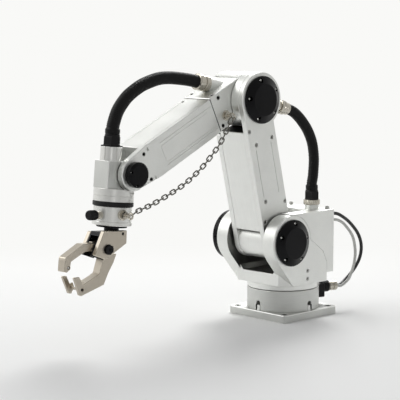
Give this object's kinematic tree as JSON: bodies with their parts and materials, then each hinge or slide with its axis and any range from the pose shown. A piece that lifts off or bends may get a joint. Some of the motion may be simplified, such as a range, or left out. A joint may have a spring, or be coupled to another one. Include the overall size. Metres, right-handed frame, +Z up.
{
  "type": "pneumatic manipulator arm",
  "caption": "Bench-mounted jointed arm with a yoke shoulder, one-sided elbow, forked wrist, hinged claw gripper, ribbed air hoses and a chain under the forearm.",
  "frame": {"origin": "centre of the base plate's underside", "axes": "+Z up, +X towards the reach of the arm, +Y towards the side with the black shoulder and elbow covers"},
  "size_m": [0.7647, 0.191, 0.5095],
  "materials": {
    "silver": "satin, bead blasted and clear anodised",
    "black": "satin black",
    "hose": "ribbed, matt",
    "nickel": "nickel plated",
    "jaw": "nickel plated, satin",
    "cable_black": "smooth",
    "cable_grey": "smooth",
    "steel_black": "black oxide"
  },
  "bodies": {
    "base": {"base_plate": "silver", "pedestal": "silver", "supply_connector": "black", "supply_fitting": "nickel"},
    "turret": {"turntable": "silver", "shoulder_yoke": "silver", "rear_housing": "silver", "service_panel": "silver", "shoulder_cover": "black", "shoulder_cap": "black", "housing_gland": "nickel", "black_cable": "cable_black", "grey_cable": "cable_grey"},
    "upper_arm": {"shoulder_hub": "silver", "side_plate_near": "silver", "side_plate_far": "silver", "front_panel": "silver", "back_panel": "silver", "elbow_boss": "silver", "elbow_cover": "black", "elbow_fitting": "nickel", "shoulder_hose": "hose"},
    "forearm": {"elbow_block": "silver", "elbow_cap": "black", "forearm_beam": "silver", "hose_socket": "silver", "socket_fitting": "nickel", "chain_anchor": "nickel", "wrist_cover": "black", "wrist_cap_far": "silver", "wrist_hose": "hose", "chain": "nickel"},
    "wrist": {"wrist_block": "silver", "wrist_gland": "black", "wrist_seal": "black", "tool_barrel": "silver", "lock_knob": "black", "barrel_eye": "nickel"},
    "gripper": {"tool_adapter": "steel_black", "gripper_body": "steel_black", "cheek_near": "jaw", "cheek_far": "jaw", "pivot_bolt": "steel_black"},
    "rear_finger": {"rear_claw": "jaw"},
    "front_finger": {"front_claw": "jaw"}
  },
  "joints": [
    {"name": "base_yaw", "type": "hinge", "parent": "base", "child": "turret", "pos_m": [0, 0, 0.06], "axis": [0, 0, 1], "range_deg": [-90, 90], "deforming": ["black_cable", "grey_cable"]},
    {"name": "shoulder", "type": "hinge", "parent": "turret", "child": "upper_arm", "pos_m": [0.06, 0, 0.163], "axis": [0, 1, 0], "range_deg": [-34, 12], "deforming": ["shoulder_hose"]},
    {"name": "elbow", "type": "hinge", "parent": "upper_arm", "child": "forearm", "pos_m": [0.11358, 0, 0.45043], "axis": [0, -1, 0], "range_deg": [-12, 60]},
    {"name": "wrist_pitch", "type": "hinge", "parent": "forearm", "child": "wrist", "pos_m": [0.41789, -0.023, 0.3219], "axis": [0, 1, 0], "range_deg": [-20, 18], "deforming": ["wrist_hose", "chain"]},
    {"name": "tool_roll", "type": "hinge", "parent": "wrist", "child": "gripper", "pos_m": [0.44506, -0.023, 0.22757], "axis": [-0.0958, 0, 0.9954], "range_deg": [-170, 170]},
    {"name": "rear_finger", "type": "hinge", "parent": "gripper", "child": "rear_finger", "pos_m": [0.47411, -0.023, 0.18667], "axis": [0, -1, 0], "range_deg": [-20, 5]},
    {"name": "front_finger", "type": "hinge", "parent": "gripper", "child": "front_finger", "pos_m": [0.47411, -0.023, 0.18667], "axis": [0, -1, 0], "range_deg": [-5, 20]}
  ],
  "couplings": [
    {"joint": "front_finger", "follows": "rear_finger", "ratio": -1}
  ]
}
